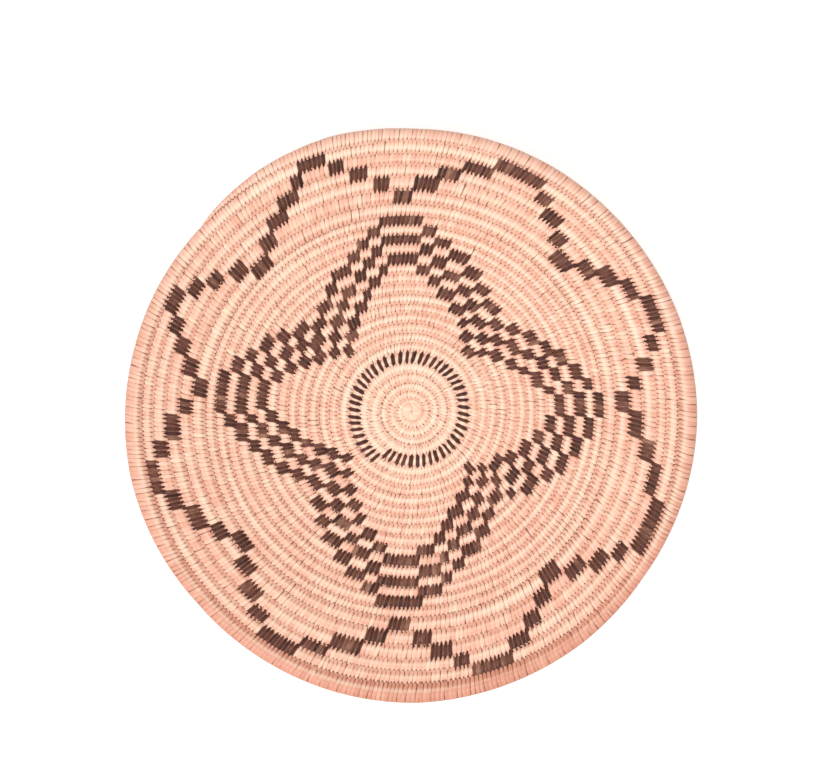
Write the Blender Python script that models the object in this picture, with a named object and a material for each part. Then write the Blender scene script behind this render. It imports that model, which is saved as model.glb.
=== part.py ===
"""Coiled basketry tray.

One coil winds outward, counter-clockwise seen from above, from a small start knot
to a tail that thins away on the rim. Each turn is sewn to the turn inside it, so the
shared edge between two turns is a spiral, and a turn fills the strip between that
spiral and the same spiral one turn later. The base is flat and the wall curves up
to a shallow dish. The tray lies with its hollow upwards on z = 0.
"""
import math

import bmesh
import bpy
import numpy as np
from mathutils import Vector

# Driving dimensions, in metres.
KNOT_RADIUS = 0.00515
CENTRE_PITCH = 0.0053
STAR_PITCH = 0.00643
ZIGZAG_PITCH = 0.00815
RIM_PITCH = 0.0111
FLAT_BASE_RADIUS = 0.055
DISH_DEPTH = 0.038
DISH_RADIUS = 0.176
SIDE_DRIFT = 0.0029
FLAT_CUT = 0.0005
SEAM_GAP = 0.0003
TAIL_TIP_WIDTH = 0.0016
END_LAND = 0.0004

# Turns are counted along the coil; turn 1 starts beside the knot.
FIRST_TURN = 1.0
FIRST_TIP_TURNS = 0.15
CENTRE_TURNS = 3.0
STAR_TURNS = 17.0
ZIGZAG_TURNS = 5.5
RIM_TURNS = 0.9
TAIL_START_TURN = 27.64
TAIL_END_TURN = 27.724
DRIFT_START_TURN = 6.5
DRIFT_END_TURN = 21.5

# Rows as a weaver counts them. A row of the pattern starts one step further round
# than the row inside it, so the wider bands start a share of a turn early.
RING_ROW = 6
FIRST_STAR_ROW = 7
FIRST_ZIGZAG_ROW = 22
RIM_ROW = 27
STAR_LAG_SHARE = 0.23
ZIGZAG_LAG_SHARE = 0.31
START_ANGLE = math.radians(236.0)

# Shape of the coil's section and how finely it is drawn.
THICKNESS_SHARE = 0.86
DISH_CURVE = 1.5
SECTION_SIDES = 8
CENTRE_RAYS = 24
OUTER_RAYS = 32
KNOT_BELTS = 8
CUTTER_MARGIN = 1.2

# Colours of the sewn splints, as linear values, with their roughness.
LIGHT_SPLINT = (0.86, 0.60, 0.43, 1.0)
PALE_SPLINT = (0.90, 0.66, 0.49, 1.0)
RUDDY_SPLINT = (0.74, 0.46, 0.31, 1.0)
DARK_SPLINT = (0.16, 0.075, 0.05, 1.0)
SPLINT_ROUGHNESS = 0.55

TURN_MARKS = np.cumsum([FIRST_TURN, CENTRE_TURNS, STAR_TURNS, ZIGZAG_TURNS, RIM_TURNS])
RADIUS_MARKS = np.cumsum([
    KNOT_RADIUS,
    CENTRE_TURNS * CENTRE_PITCH,
    STAR_TURNS * STAR_PITCH,
    ZIGZAG_TURNS * ZIGZAG_PITCH,
    RIM_TURNS * RIM_PITCH,
])


def seam_radius(turn):
    """Radius of the seam on a turn's outer side: each band adds its own pitch."""
    return float(np.interp(turn, TURN_MARKS, RADIUS_MARKS))


def dish_height(radius):
    """Height of the wall's middle: flat to the base radius, then a rising power curve."""
    rise = max(0.0, radius - FLAT_BASE_RADIUS) / (DISH_RADIUS - FLAT_BASE_RADIUS)
    return DISH_DEPTH * rise ** DISH_CURVE


def ray_point(turn):
    """Point of the seam on one of the rays that all turns share."""
    radius = seam_radius(turn)
    angle = START_ANGLE + 2.0 * math.pi * turn
    drift = np.interp(turn, [DRIFT_START_TURN, DRIFT_END_TURN], [0.0, SIDE_DRIFT])
    return Vector((radius * math.cos(angle) - drift, radius * math.sin(angle), dish_height(radius)))


def seam_point(turn, rays):
    """Point of the seam on the straight chord between two rays, so that turns nest."""
    first = math.floor(turn * rays)
    share = turn * rays - first
    return ray_point(first / rays).lerp(ray_point((first + 1) / rays), share)


def tail_width_share(turn, rays):
    """Share of the full width: 1 along the coil, then falling evenly to the tail's tip."""
    if turn <= TAIL_START_TURN:
        return 1.0
    full = (seam_point(TAIL_END_TURN, rays) - seam_point(TAIL_END_TURN - 1.0, rays)).length
    along = (turn - TAIL_START_TURN) / (TAIL_END_TURN - TAIL_START_TURN)
    return 1.0 + along * (TAIL_TIP_WIDTH / full - 1.0)


def section_at(turn, rays):
    """Centre, half width and slope of the coil's section at a turn."""
    inner = seam_point(turn - 1.0, rays)
    outer = inner.lerp(seam_point(turn, rays), tail_width_share(turn, rays))
    across = outer - inner
    half_width = (across.length - SEAM_GAP) / 2.0
    slope = math.atan2(across.z, math.hypot(across.x, across.y))
    return (inner + outer) / 2.0, half_width, slope


def moved_along(section, turn, distance):
    """The same section a little way along the coil, square to its ray, so ends lie flat."""
    centre, half_width, slope = section
    angle = START_ANGLE + 2.0 * math.pi * turn
    along = Vector((-math.sin(angle), math.cos(angle), 0.0))
    return centre + along * distance, half_width, slope


def turns_between(start, end, rays):
    """The two ends of a length of coil and every shared ray between them."""
    first = math.floor(start * rays) + 1
    last = math.ceil(end * rays) - 1
    return [start] + [index / rays for index in range(first, last + 1)] + [end]


def row_start(row):
    """Turn at which a row begins."""
    if row <= FIRST_STAR_ROW:
        return float(row)
    lag = STAR_LAG_SHARE if row < FIRST_ZIGZAG_ROW else ZIGZAG_LAG_SHARE
    return row - lag


def row_name(row):
    """Name of a row, from the band of the pattern that it belongs to."""
    if row < RING_ROW:
        return f"centre_round_{row:02d}"
    if row == RING_ROW:
        return f"ring_round_{row:02d}"
    if row < FIRST_ZIGZAG_ROW:
        return f"star_round_{row:02d}"
    if row < RIM_ROW:
        return f"zigzag_round_{row:02d}"
    return f"rim_round_{row:02d}"


def splint_material(name, colour):
    """A plain Principled material for a sewn splint."""
    material = bpy.data.materials.new(name)
    material.use_nodes = True
    shader = material.node_tree.nodes["Principled BSDF"]
    shader.inputs["Base Color"].default_value = colour
    shader.inputs["Roughness"].default_value = SPLINT_ROUGHNESS
    shader.inputs["Metallic"].default_value = 0.0
    material.diffuse_color = colour
    return material


def row_colour(row):
    """Splint colour of a row: the ring reads dark, the rim reddish, the rest pale."""
    if row == RING_ROW:
        return DARK_SPLINT
    if row >= RIM_ROW:
        return RUDDY_SPLINT
    return PALE_SPLINT if row < RING_ROW else LIGHT_SPLINT


def section_guide(collection):
    """Unit outline of the coil's section, wider along the wall than through it."""
    curve = bpy.data.curves.new("coil_section", "CURVE")
    curve.dimensions = "2D"
    spline = curve.splines.new("POLY")
    spline.points.add(SECTION_SIDES - 1)
    for index, point in enumerate(spline.points):
        angle = -2.0 * math.pi * index / SECTION_SIDES
        point.co = (math.cos(angle), THICKNESS_SHARE * math.sin(angle), 0.0, 1.0)
    spline.use_cyclic_u = True
    guide = bpy.data.objects.new("coil_section", curve)
    guide.hide_render = True
    guide.display_type = "WIRE"
    collection.objects.link(guide)
    return guide


def coil_length(name, start, end, rays, guide, collection, colour):
    """One length of the coil, carried along its own stretch of the spiral."""
    curve = bpy.data.curves.new(name, "CURVE")
    curve.dimensions = "3D"
    curve.twist_mode = "Z_UP"
    curve.bevel_mode = "OBJECT"
    curve.bevel_object = guide
    curve.use_fill_caps = True
    sections = [section_at(turn, rays) for turn in turns_between(start, end, rays)]
    sections.insert(1, moved_along(sections[0], start, END_LAND))
    sections.insert(-1, moved_along(sections[-1], end, -END_LAND))
    spline = curve.splines.new("POLY")
    spline.points.add(len(sections) - 1)
    for point, (centre, half_width, slope) in zip(spline.points, sections):
        point.co = (*centre, 1.0)
        point.radius = half_width
        point.tilt = -slope
    piece = bpy.data.objects.new(name, curve)
    curve.materials.append(splint_material(name, colour))
    collection.objects.link(piece)
    return piece


def start_knot(collection):
    """The knot that the coil starts around, a squashed ball as thick as the coil."""
    mesh = bpy.data.meshes.new("start_knot")
    ball = bmesh.new()
    bmesh.ops.create_uvsphere(ball, u_segments=CENTRE_RAYS, v_segments=KNOT_BELTS, radius=1.0)
    radius = KNOT_RADIUS * math.cos(math.pi / CENTRE_RAYS) - SEAM_GAP
    half_thickness = CENTRE_PITCH * THICKNESS_SHARE / 2.0
    bmesh.ops.scale(ball, vec=(radius, radius, half_thickness), verts=ball.verts)
    ball.to_mesh(mesh)
    ball.free()
    mesh.shade_smooth()
    knot = bpy.data.objects.new("start_knot", mesh)
    mesh.materials.append(splint_material("start_knot", PALE_SPLINT))
    collection.objects.link(knot)
    return knot


def as_mesh(piece, collection):
    """The same piece as a mesh with its end caps welded on."""
    name = piece.name
    bpy.context.view_layer.update()
    evaluated = piece.evaluated_get(bpy.context.evaluated_depsgraph_get())
    mesh = bpy.data.meshes.new_from_object(evaluated)
    welded = bmesh.new()
    welded.from_mesh(mesh)
    bmesh.ops.remove_doubles(welded, verts=welded.verts, dist=SEAM_GAP / 100.0)
    bmesh.ops.recalc_face_normals(welded, faces=welded.faces)
    welded.to_mesh(mesh)
    welded.free()
    place = piece.matrix_world.copy()
    bpy.data.objects.remove(piece)
    solid = bpy.data.objects.new(name, mesh)
    solid.matrix_world = place
    collection.objects.link(solid)
    return solid


def floor_cutter(top, collection):
    """A block under the tray whose upper face is the plane that the base rests on."""
    size = 2.0 * CUTTER_MARGIN * DISH_RADIUS
    mesh = bpy.data.meshes.new("floor_cutter")
    block = bmesh.new()
    bmesh.ops.create_cube(block, size=1.0)
    bmesh.ops.scale(block, vec=(size, size, DISH_DEPTH), verts=block.verts)
    bmesh.ops.translate(block, vec=(0.0, 0.0, top - DISH_DEPTH / 2.0), verts=block.verts)
    block.to_mesh(mesh)
    block.free()
    cutter = bpy.data.objects.new("floor_cutter", mesh)
    cutter.hide_render = True
    cutter.display_type = "WIRE"
    collection.objects.link(cutter)
    return cutter


def cut_flat(piece, cutter):
    """Trim away what lies under the resting plane."""
    trim = piece.modifiers.new("rest_flat", "BOOLEAN")
    trim.operation = "DIFFERENCE"
    trim.object = cutter
    trim.solver = "EXACT"


def lowest_point(piece):
    """Height of the lowest corner of a piece as it is drawn."""
    evaluated = piece.evaluated_get(bpy.context.evaluated_depsgraph_get())
    mesh = evaluated.to_mesh()
    low = min((evaluated.matrix_world @ vertex.co).z for vertex in mesh.vertices)
    evaluated.to_mesh_clear()
    return low


def box_of(pieces):
    """Lowest and highest corner of several pieces together."""
    graph = bpy.context.evaluated_depsgraph_get()
    corners = []
    for piece in pieces:
        evaluated = piece.evaluated_get(graph)
        mesh = evaluated.to_mesh()
        corners += [evaluated.matrix_world @ vertex.co for vertex in mesh.vertices]
        evaluated.to_mesh_clear()
    low = Vector(map(min, zip(*corners)))
    high = Vector(map(max, zip(*corners)))
    return low, high


def build_tray():
    """Knot, rows and tail, set down with the middle of their box over the origin."""
    for old in list(bpy.data.objects):
        bpy.data.objects.remove(old)
    tray = bpy.data.collections.new("basketry_tray")
    guides = bpy.data.collections.new("guides")
    bpy.context.scene.collection.children.link(tray)
    bpy.context.scene.collection.children.link(guides)
    guide = section_guide(guides)

    pieces = [start_knot(tray)]
    for row in range(1, RIM_ROW + 1):
        rays = CENTRE_RAYS if row < RING_ROW else OUTER_RAYS
        start = row_start(row) if row > FIRST_TURN else FIRST_TURN + FIRST_TIP_TURNS
        end = row_start(row + 1) if row < RIM_ROW else TAIL_START_TURN
        trim = SEAM_GAP / (4.0 * math.pi * seam_radius((start + end) / 2.0))
        pieces.append(coil_length(row_name(row), start + trim, end - trim, rays, guide,
                                  tray, row_colour(row)))
    trim = SEAM_GAP / (4.0 * math.pi * seam_radius(TAIL_START_TURN))
    pieces.append(coil_length("coil_tail", TAIL_START_TURN + trim, TAIL_END_TURN, OUTER_RAYS,
                              guide, tray, RUDDY_SPLINT))

    bpy.context.view_layer.update()
    heights = [lowest_point(piece) for piece in pieces]
    rest_plane = min(heights) + FLAT_CUT
    cutter = floor_cutter(rest_plane, guides)
    for index, height in enumerate(heights):
        if height < rest_plane:
            if pieces[index].type == "CURVE":
                pieces[index] = as_mesh(pieces[index], tray)
            cut_flat(pieces[index], cutter)

    bpy.context.view_layer.update()
    low, high = box_of(pieces)
    carrier = bpy.data.objects.new("tray_origin", None)
    tray.objects.link(carrier)
    carrier.location = (-(low.x + high.x) / 2.0, -(low.y + high.y) / 2.0, -low.z)
    for member in pieces + [cutter]:
        member.parent = carrier
    bpy.context.view_layer.update()
    print("rows", len(pieces), "box in mm", [round(side * 1000.0, 2) for side in high - low])


build_tray()
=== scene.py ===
# %% [markdown]
# A coiled basketry tray. One bundle of slender rods is wound into a spiral, and every turn
# is sewn to the turn inside it with split, scraped shoots. Light and naturally dark splints
# change over by the count, which draws a dashed ring, a stepped star and a zigzag. The
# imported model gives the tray's place and size. This lesson sews its surface, one stitch at
# a time, around that model.

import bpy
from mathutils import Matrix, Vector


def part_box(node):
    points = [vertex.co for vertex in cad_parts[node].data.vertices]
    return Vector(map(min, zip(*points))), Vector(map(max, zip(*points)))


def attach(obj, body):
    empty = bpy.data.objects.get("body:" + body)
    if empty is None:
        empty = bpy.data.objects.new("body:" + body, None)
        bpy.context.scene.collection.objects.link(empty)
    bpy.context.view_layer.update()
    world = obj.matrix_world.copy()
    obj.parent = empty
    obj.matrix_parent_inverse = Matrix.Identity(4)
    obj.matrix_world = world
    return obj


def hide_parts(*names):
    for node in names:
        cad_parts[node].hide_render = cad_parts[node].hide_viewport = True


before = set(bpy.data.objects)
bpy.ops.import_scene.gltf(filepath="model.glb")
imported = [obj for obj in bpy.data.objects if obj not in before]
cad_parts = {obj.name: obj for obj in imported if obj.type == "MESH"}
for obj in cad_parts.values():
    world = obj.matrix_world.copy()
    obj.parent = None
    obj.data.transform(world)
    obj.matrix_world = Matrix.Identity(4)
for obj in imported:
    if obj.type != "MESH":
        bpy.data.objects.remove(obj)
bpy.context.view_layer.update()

# %% Modules and units
import math

import bpy
import numpy as np

MM = 0.001
TURN = 2.0 * math.pi
CIRCLE = 360.0
HAND_SEED = 27
rng = np.random.default_rng(HAND_SEED)
print("lengths are in metres, and a turn is", CIRCLE, "degrees")

# %% [markdown]
# The coil. The seam between two turns is one long spiral: its radius grows by one pitch a
# turn. The pitch steps up in five bands: the first turn, the rest of the centre, the body,
# the outer rows and the rim. Turns are counted from the place where the coil leaves the
# knot in the middle. A spiral could also be drawn as a curve with a bevel, but every stitch
# has to know where it sits on the wall, so the spiral is kept as a formula that any array
# of turns can go through.

# %% Sizes of the coil
BAND_TURNS = np.array([1.0, 3.0, 17.0, 5.5, 0.9])
BAND_PITCHES = np.array([5.15, 5.3, 6.43, 8.15, 11.1]) * MM
TURN_MARKS = np.cumsum(BAND_TURNS)
RADIUS_MARKS = np.cumsum(BAND_TURNS * BAND_PITCHES)
START_ANGLE = math.radians(236.0)
THICKNESS_SHARE = 0.86
TAIL_START, TAIL_END = 27.636, 27.724
TAIL_MARKS = [TAIL_START, 27.68, 27.71, TAIL_END]
TAIL_SHARES = [1.0, 0.72, 0.35, 0.1]
print("rim radius (mm):", round(RADIUS_MARKS[-1] / MM, 1))

# %% Sizes of the dish
FLAT_BASE_RADIUS = 55.0 * MM
DISH_RADIUS = 176.0 * MM
DISH_DEPTH = 38.0 * MM
DISH_CURVE = 1.5
SIDE_DRIFT = 2.9 * MM
DRIFT_TURNS = (6.5, 21.5)

knot_low, knot_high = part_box("start_knot")
knot_half_height = BAND_PITCHES[1] * THICKNESS_SHARE / 2.0
ORIGIN = np.array([
    (knot_low.x + knot_high.x) / 2.0,
    (knot_low.y + knot_high.y) / 2.0,
    knot_high.z - knot_half_height,
])
print("coil starts at (mm):", np.round(ORIGIN / MM, 3))

# %% [markdown]
# The maker's hand. A sewn coil strays from an even spiral. On the sloping side each turn
# leans on the one below and settles outwards a little, and the outer rows bulge about a
# millimetre out on the upper right and draw in as much on the lower left. The tables are
# pairs: a turn and the millimetres its seam has settled, and an angle in degrees and the
# millimetres the rows bulge there. They go back to shifts between the photograph and earlier
# renders of this tray, which small scripts measured on the rows, the dark blocks and the
# outline, and which were then averaged, rounded and adjusted by hand. The rows' common
# middle also drifts nearly 3 mm to the left between the ring and the outer rows.

# %% How far the rows stray
WAVER = 0.12 * MM
WAVER_SPEEDS = (2.3, 3.7, 6.1)
WAVER_PHASES = (0.0, 1.0, 0.0)
SETTLED = np.array([
    (1.0, 0.0), (4.0, 0.3), (5.5, 0.6), (8.0, 0.6), (12.0, 0.5), (16.0, 0.6), (20.5, 0.7),
    (22.5, 1.1), (24.0, 1.4), (25.15, 1.0), (25.24, 0.5), (25.44, 0.3), (25.54, 0.8),
    (26.0, 0.9), (26.4, 0.6), (26.72, 0.8), (26.8, 0.6), (26.88, 1.2), (26.96, -0.8),
    (27.1, 1.2), (27.2, 0.3), (27.25, -1.2), (27.31, -0.2), (27.345, 0.1), (27.386, -0.7),
    (27.43, -1.2), (27.47, -1.0), (27.51, -0.6), (27.55, -0.8), (27.59, -1.4), (27.636, 0.4),
    (27.68, 1.2), (27.72, 1.6),
])
BULGES = np.array([
    (0, 0.6), (22, 0.8), (45, 1.1), (67, 0.9), (90, 1.1), (112, 1.1), (135, 0.8),
    (157, 0.4), (180, 0.2), (202, -0.5), (225, -1.2), (247, 0.0), (292, 0.2), (337, 0.7),
])
BULGE_TURNS = [20.5, 22.0, 26.0, 26.7]
BULGE_SHARES = [0.0, 1.0, 1.0, 0.0]
print("rows settle (mm) between", SETTLED[:, 1].min(), "and", SETTLED[:, 1].max())


# %% Where the seam runs
def seam_radius(turn):
    """Radius of the seam: pitch times turns, summed over the bands, then the hand's stray.

    The waver is a sum of slow sines of the turn and fades in over the first bands.
    """
    waver = sum(np.sin(TURN * speed * turn + phase) for speed, phase in zip(WAVER_SPEEDS, WAVER_PHASES))
    fade_in = np.clip((turn - TURN_MARKS[1]) / TURN_MARKS[1], 0.0, 1.0)
    settled = np.interp(turn, SETTLED[:, 0], SETTLED[:, 1] * MM)
    angle = np.degrees(START_ANGLE) + CIRCLE * turn
    bulge = np.interp(angle % CIRCLE, BULGES[:, 0], BULGES[:, 1] * MM, period=CIRCLE)
    bulge = bulge * np.interp(turn, BULGE_TURNS, BULGE_SHARES)
    return np.interp(turn, TURN_MARKS, RADIUS_MARKS) + settled + bulge + WAVER * waver * fade_in


def coil_edges(turn):
    """Inner and outer radius of the coil at a turn: the seam one turn back, and the seam.

    On the tail the coil keeps a falling share of the room between them.
    """
    inner = seam_radius(turn - 1.0)
    thinned = np.interp(turn, TAIL_MARKS, TAIL_SHARES)
    return inner, inner + (seam_radius(turn) - inner) * thinned


def middle_radius(turn):
    """Radius of the coil's middle line."""
    inner, outer = coil_edges(turn)
    return (inner + outer) / 2.0


print("middle of the coil at turn 20 (mm):", round(float(middle_radius(20.0)) / MM, 1))


# %% Where the wall rises
def dish_rise(radius):
    """Share of the way from the edge of the flat base to the rim, 0 on the base."""
    return np.clip(radius - FLAT_BASE_RADIUS, 0.0, None) / (DISH_RADIUS - FLAT_BASE_RADIUS)


def dish_height(radius):
    """Height of the wall's middle: the depth times the rise to the power of the curve."""
    return DISH_DEPTH * dish_rise(radius) ** DISH_CURVE


def dish_slope(radius):
    """Slope of the wall, the derivative of its height by the radius."""
    steepness = DISH_CURVE * DISH_DEPTH / (DISH_RADIUS - FLAT_BASE_RADIUS)
    return steepness * dish_rise(radius) ** (DISH_CURVE - 1.0)


def wall_point(turn, radius, lift):
    """Point on the wall at a turn's angle and a radius, lifted along the wall's normal.

    p = origin + (R cos a - drift, R sin a, h(R)) + lift * n, and the normal n is
    (-h' cos a, -h' sin a, 1) made one long.
    """
    angle = START_ANGLE + TURN * turn
    drift = np.interp(turn, DRIFT_TURNS, [0.0, SIDE_DRIFT])
    slope = dish_slope(radius)
    length = np.sqrt(1.0 + slope ** 2)
    x = radius * np.cos(angle) - drift - lift * slope / length * np.cos(angle)
    y = radius * np.sin(angle) - lift * slope / length * np.sin(angle)
    z = dish_height(radius) + lift / length
    return ORIGIN + np.stack(np.broadcast_arrays(x, y, z), axis=-1)


rim_slope = math.degrees(math.atan(float(dish_slope(DISH_RADIUS))))
print("wall slope at the rim (degrees):", round(rim_slope, 1))

# %% [markdown]
# The sewing. The maker works round the spiral and puts each stitch through the turn inside,
# in the gap between two of its stitches. The stitches are about 2 mm apart near the middle
# and nearly 3 mm on the outer rows. Because each turn is longer than the last, the gaps
# slowly widen until an extra stitch slips in. An even spacing would look machine made, so
# the stitches are placed one after the other by that rule: a step along the coil, then a
# pull towards the nearest gap in the turn inside.

# %% Place the stitches
FIRST_STITCH = 1.12
LAST_STITCH = TAIL_END - 0.002
SPACING_TURNS = [1.0, 3.0, 5.9, 7.2, 9.0, 15.0, 20.0, 23.0, 27.0]
SPACINGS = np.array([1.8, 2.1, 2.05, 2.16, 2.55, 2.6, 2.6, 2.75, 2.65]) * MM
SEWING_MARKS = 6000
GAP_PULL = 0.24
HAND_SPREAD = 0.05
STITCH_LEAN = math.tan(math.radians(10.5))
SAMPLE_ROWS = (6, 12, 18, 24, 27)


def sew():
    """Turn of each stitch: one spacing on from the last, drawn towards a gap one turn back."""
    table_turns = np.linspace(0.0, TAIL_END + 1.0, SEWING_MARKS)
    table_steps = np.interp(table_turns, SPACING_TURNS, SPACINGS) / (TURN * middle_radius(table_turns))
    inner, outer = coil_edges(table_turns)
    table_leans = STITCH_LEAN * (outer - inner) / (TURN * (inner + outer) / 2.0)
    places = [FIRST_STITCH]
    behind = 0
    while places[-1] < LAST_STITCH:
        last = places[-1]
        step = np.interp(last, table_turns, table_steps)
        place = last + step * (1.0 + HAND_SPREAD * rng.standard_normal())
        target = place - 1.0 + np.interp(place, table_turns, table_leans)
        if target > places[0]:
            while behind + 2 < len(places) and places[behind + 1] < target:
                behind += 1
            gap = (places[behind] + places[behind + 1]) / 2.0
            place += GAP_PULL * (gap - target)
        places.append(place)
    return np.array(places)


stitch_turns = sew()
stitch_count = len(stitch_turns)
stitch_steps = np.gradient(stitch_turns)
print("stitches:", stitch_count)
for row in SAMPLE_ROWS:
    in_row = np.floor(stitch_turns) == row
    spacing = (stitch_steps[in_row] * TURN * middle_radius(stitch_turns[in_row])).mean()
    print("row", row, "has", in_row.sum(), "stitches,", round(spacing / MM, 2), "mm apart")

# %% [markdown]
# The pattern. Every stitch is either light or dark, so the pattern is a rule that takes a
# stitch's row and its angle. The angles below were read off the photograph, to about one
# pixel, as places where one block stops and the next starts. A stitch is carried to that
# pixel frame by its own place on the tray, so the blocks keep to what was read. A row ends
# one step further out than it began, at a step line in the upper left.

# %% Photograph's frame
PIXEL = 0.64 * MM
BASE_PIXEL = (411.65, 411.5)
READING_PIXEL = (410.5, 406.5)
CAMERA_TILT = math.radians(5.2)


def photo_angle(points):
    """Angle in degrees about the reading pixel: across and up in pixels, then atan2."""
    offset = points - ORIGIN
    across = BASE_PIXEL[0] + offset[..., 0] / PIXEL - READING_PIXEL[0]
    risen = offset[..., 1] * math.cos(CAMERA_TILT) - offset[..., 2] * math.sin(CAMERA_TILT)
    up = READING_PIXEL[1] - BASE_PIXEL[1] + risen / PIXEL
    return np.degrees(np.arctan2(up, across))


inner_edges, outer_edges = coil_edges(stitch_turns)
stitch_radii = (inner_edges + outer_edges) / 2.0
stitch_angles = photo_angle(wall_point(stitch_turns, stitch_radii, 0.0))
print("angles run from", round(stitch_angles.min(), 1), "to", round(stitch_angles.max(), 1))

# %% Blocks of the star
STAR_FIRST_ROW = 13
STAR_COLUMNS = 14
STAIRCASES = 3
STAIRCASE_GAP = 2
STAR_STEP_ANGLE = 153.8
STAR_STARTS = [
    -3.6, 5.0, 9.3, 15.1, 20.6, 26.7, 33.8, 40.1, 47.2, 55.5, 61.3, 69.1, 75.9, 81.9,
    86.7, 99.7, 103.8, 108.8, 113.8, 121.1, 126.6, 134.1, 141.6, 148.6,
]
STAR_STARTS_PAST_STEP = [
    153.8, 160.0, 164.3,
    169.1, 181.9, 185.8, 191.4, 196.9, 202.5, 208.1, 215.0, 222.8, 230.0, 236.3, 242.8, 248.1, 254.7,
    259.7, 273.1, 280.2, 284.3, 289.7, 296.7, 303.3, 309.7, 317.0, 322.0, 330.6, 336.6, 343.6, 350.1,
]
STAR_COLUMNS_SKIPPED = 1
print("star blocks read:", len(STAR_STARTS) + len(STAR_STARTS_PAST_STEP))

# %% Blocks of the zigzag and the ring
RING_ROW = 6
ZIGZAG_FIRST_ROW = 22
ZIGZAG_COLUMNS = 8
ZIGZAG_STEP_ANGLE = 133.4
ZIGZAG_STARTS = [
    -1.3, 4.4, 8.3, 12.6, 16.8, 25.6, 30.8, 35.8,
    40.5, 46.6, 50.7, 55.6, 59.5, 70.9, 77.4, 83.2,
    89.0, 95.1, 100.0, 105.1, 108.8, 115.0, 118.1, 123.1, 128.9,
]
ZIGZAG_STARTS_PAST_STEP = [
    133.4, 139.3, 144.4, 149.0, 152.8, 158.7, 162.7, 167.4,
    172.2, 177.8, 182.2, 187.6, 191.9, 199.2, 204.2, 210.4,
    215.2, 221.2, 226.1, 231.3, 235.8, 245.0, 250.9, 258.8,
    264.0, 270.2, 275.0, 279.8, 283.6, 292.4, 297.6, 302.0,
    306.9, 313.2, 318.4, 323.4, 327.4, 339.6, 347.0, 352.5,
]
print("zigzag blocks read:", len(ZIGZAG_STARTS) + len(ZIGZAG_STARTS_PAST_STEP))

# %% Rows and columns of the pattern
HALF_TURN = 0.5


def rows_of(turns, angles, step_angle):
    """Row number: whole turns, and one more past the step line, in a turn's second half."""
    past_step = (angles % CIRCLE >= step_angle) & (turns % 1.0 > HALF_TURN)
    return np.floor(turns).astype(int) + past_step, past_step


def columns_of(angles, past_step, starts, starts_past_step, first_past_step):
    """Column number: how many blocks start at or before the angle, on its side of the step."""
    wrapped = (angles - starts[0]) % CIRCLE + starts[0]
    before = np.searchsorted(starts, wrapped, side="right") - 1
    after = np.searchsorted(starts_past_step, wrapped, side="right") - 1 + first_past_step
    late = past_step | (wrapped >= starts_past_step[0])
    return np.where(late, after, before)


# %% Which stitches are dark
# The star's outermost staircase falls and climbs a row at each column, over 14 columns, and
# the other two lie two and four rows inside it. The zigzag climbs four rows and falls again
# over eight columns. The ring takes every second stitch of its row.
star_rows, star_late = rows_of(stitch_turns, stitch_angles, STAR_STEP_ANGLE)
star_columns = columns_of(stitch_angles, star_late, STAR_STARTS, STAR_STARTS_PAST_STEP,
                          len(STAR_STARTS) + STAR_COLUMNS_SKIPPED)
star_top = STAR_FIRST_ROW + np.abs(star_columns % STAR_COLUMNS - STAR_COLUMNS // 2)
star_dark = np.isin(star_top - star_rows, STAIRCASE_GAP * np.arange(STAIRCASES))

zigzag_rows, zigzag_late = rows_of(stitch_turns, stitch_angles, ZIGZAG_STEP_ANGLE)
zigzag_columns = columns_of(stitch_angles, zigzag_late, ZIGZAG_STARTS, ZIGZAG_STARTS_PAST_STEP, 0)
half_wave = ZIGZAG_COLUMNS // 2
zigzag_top = ZIGZAG_FIRST_ROW + half_wave - np.abs(zigzag_columns % ZIGZAG_COLUMNS - half_wave)
zigzag_dark = zigzag_rows == zigzag_top

ring_dark = (np.floor(stitch_turns) == RING_ROW) & (np.arange(stitch_count) % 2 == 0)
stitch_dark = ring_dark | star_dark | zigzag_dark
print("dark stitches in ring, star, zigzag:", ring_dark.sum(), star_dark.sum(), zigzag_dark.sum())

# %% [markdown]
# One stitch. A splint goes over the coil, down into the turn inside, and back underneath.
# Its inner end is a rounded lobe that dives between two stitches of the turn inside. Its
# outer end runs on under the lobes of the next turn and shows between them as a spike. So
# two turns lock like teeth, with a small dark hole at each tip. The stitches touch along
# the crest, where the taut splints are pressed flat. The shape is a closed ring: stations
# round the coil, and at each station four corners, two low edges and two raised shoulders.
# Every stitch has the same few dozen faces, and all are worked out at once as one array.
#
# There are four kinds. A light stitch has a sunk spike. A dark one has a longer spike that
# lies on top. A dash of the ring is broad and lies over its neighbours. The fine stitches
# in the centre have slim ends, so that the holes between them stay separate dots. Each
# table below has a row for a kind and a column for a station, from outer to inner end: its
# place across in half widths of the coil, its share of the stitch's width, and its height
# off the coil's face.

# %% Kinds of stitch
LIGHT, DARK, DASH, FINE = 0, 1, 2, 3
ACROSS = np.array([
    [1.42, 1.20, 1.00, 0.74, 0.36, -0.06, -0.48, -0.90, -1.24],
    [1.54, 1.30, 1.04, 0.74, 0.36, -0.06, -0.48, -0.88, -1.26],
    [1.40, 1.18, 0.90, 0.52, 0.12, -0.30, -0.70, -1.04, -1.30],
    [1.60, 1.32, 1.04, 0.72, 0.34, -0.08, -0.52, -0.98, -1.42],
])
WIDTH_SHARES = np.array([
    [0.12, 0.50, 0.86, 0.95, 1.00, 0.98, 0.83, 0.78, 0.12],
    [0.10, 0.44, 0.82, 0.95, 1.00, 0.98, 0.84, 0.70, 0.10],
    [0.12, 0.56, 0.88, 1.00, 1.00, 1.00, 0.98, 0.84, 0.34],
    [0.10, 0.40, 0.72, 0.92, 1.00, 0.97, 0.80, 0.64, 0.10],
])
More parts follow.
